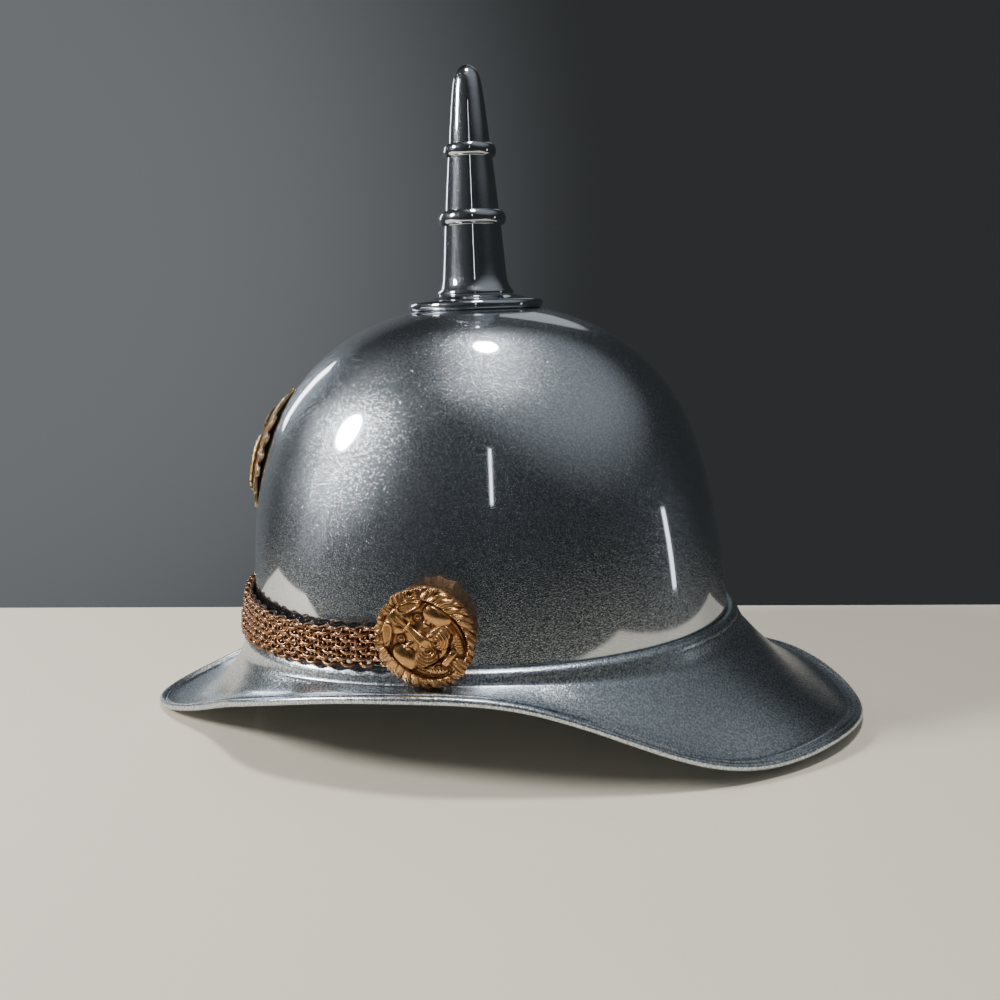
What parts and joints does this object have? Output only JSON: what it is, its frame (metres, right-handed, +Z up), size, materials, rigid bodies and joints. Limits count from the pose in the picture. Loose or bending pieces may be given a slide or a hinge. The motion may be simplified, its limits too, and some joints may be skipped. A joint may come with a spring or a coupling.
{
  "type": "ceremonial band helmet",
  "caption": "Chromed parade helmet with a hollow dome, flared brim, turned spike, front badge and woven brass chin chain held by lion bosses.",
  "frame": {"origin": "on the surface the helmet rests on, under the middle of its outline", "axes": "+Z up, front peak towards -X, wearer's left towards -Y"},
  "size_m": [0.3288, 0.2188, 0.2832],
  "materials": {
    "shell": "polished, finely scratched",
    "badge": "polished",
    "chain": "aged",
    "boss": "aged, dark in the recesses"
  },
  "bodies": {
    "root": {"dome": "shell", "brim": "shell", "spike_plate": "shell", "spike": "shell", "badge_star": "badge", "badge_wreath": "badge", "badge_boss": "badge", "badge_crest": "badge", "chin_chain": "chain", "lion_boss_left": "boss", "lion_boss_right": "boss"}
  },
  "joints": []
}
